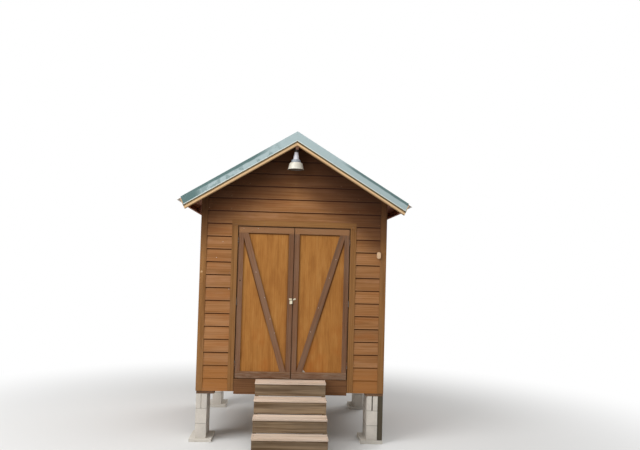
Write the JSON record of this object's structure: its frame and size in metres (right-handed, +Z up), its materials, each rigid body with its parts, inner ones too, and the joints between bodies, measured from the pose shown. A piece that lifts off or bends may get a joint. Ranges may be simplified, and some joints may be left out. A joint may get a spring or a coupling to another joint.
{
  "type": "garden shed",
  "caption": "Small gabled timber shed with lap siding, a ribbed metal roof and double plank doors, raised on block piers with open wooden steps.",
  "frame": {"origin": "on the ground, in the middle of the ground plan of the whole shed with its steps", "axes": "+Z up; the doors and steps face -Y; +X is to the right seen from the front"},
  "size_m": [3.0684, 3.8374, 4.0859],
  "materials": {
    "pad_concrete": "rough cast concrete",
    "block_concrete": "rough concrete block",
    "shim_wood": "weathered timber",
    "post_wood": "weathered timber",
    "frame_lumber": "sawn timber",
    "deck_wood": "sheet wood",
    "sill_wood": "dark stained board",
    "siding_wood": "stained lap siding",
    "trim_wood": "stained board",
    "hinge_steel": "dull zinc plate",
    "panel_wood": "amber stained plywood with upright grain",
    "door_board_wood": "weathered board",
    "hasp_brass": "tarnished brass plate",
    "padlock_brass": "worn brass",
    "rake_wood": "raw sawn timber",
    "roof_metal": "green enamel",
    "lamp_white": "off-white enamel",
    "shade_cream": "cream enamel",
    "riser_wood": "weathered board",
    "tread_wood": "weathered board",
    "fitting_plastic": "matt beige"
  },
  "bodies": {
    "shed": {"footing_pads": "pad_concrete", "bottom_and_top_blocks": "block_concrete", "middle_blocks": "block_concrete", "pier_shims": "shim_wood", "corner_post": "post_wood", "floor_frame": "frame_lumber", "floor_deck": "deck_wood", "sill_board": "sill_wood", "wall_studs": "frame_lumber", "wall_plates": "frame_lumber", "door_header": "frame_lumber", "side_siding": "siding_wood", "back_siding": "siding_wood", "front_siding": "siding_wood", "gable_siding": "siding_wood", "corner_boards": "trim_wood", "door_casings": "trim_wood", "frame_hinges": "hinge_steel", "ridge_board": "frame_lumber", "rafters": "frame_lumber", "eave_boards": "frame_lumber", "rake_boards": "rake_wood", "roof_deck": "deck_wood", "roof_sheets": "roof_metal", "ridge_cap": "roof_metal", "rake_trims": "roof_metal", "lamp_holder": "lamp_white", "lamp_shade": "shade_cream", "step_stringers": "riser_wood", "step_risers": "riser_wood", "step_treads": "tread_wood", "wall_fitting": "fitting_plastic"},
    "left_door": {"left_door_panel": "panel_wood", "left_door_stiles": "door_board_wood", "left_door_rails": "door_board_wood", "left_door_brace": "door_board_wood", "left_door_hinges": "hinge_steel", "hasp_staple": "hasp_brass", "padlock": "padlock_brass"},
    "right_door": {"right_door_panel": "panel_wood", "right_door_stiles": "door_board_wood", "right_door_rails": "door_board_wood", "right_door_brace": "door_board_wood", "right_door_hinges": "hinge_steel", "door_hasp": "hasp_brass"}
  },
  "joints": [
    {"name": "left_door_hinge", "type": "hinge", "parent": "shed", "child": "left_door", "pos_m": [-0.742, -0.79565, 1.8], "axis": [0, 0, -1], "range_deg": [0, 160]},
    {"name": "right_door_hinge", "type": "hinge", "parent": "shed", "child": "right_door", "pos_m": [0.742, -0.79565, 1.8], "axis": [0, 0, 1], "range_deg": [0, 160]}
  ]
}
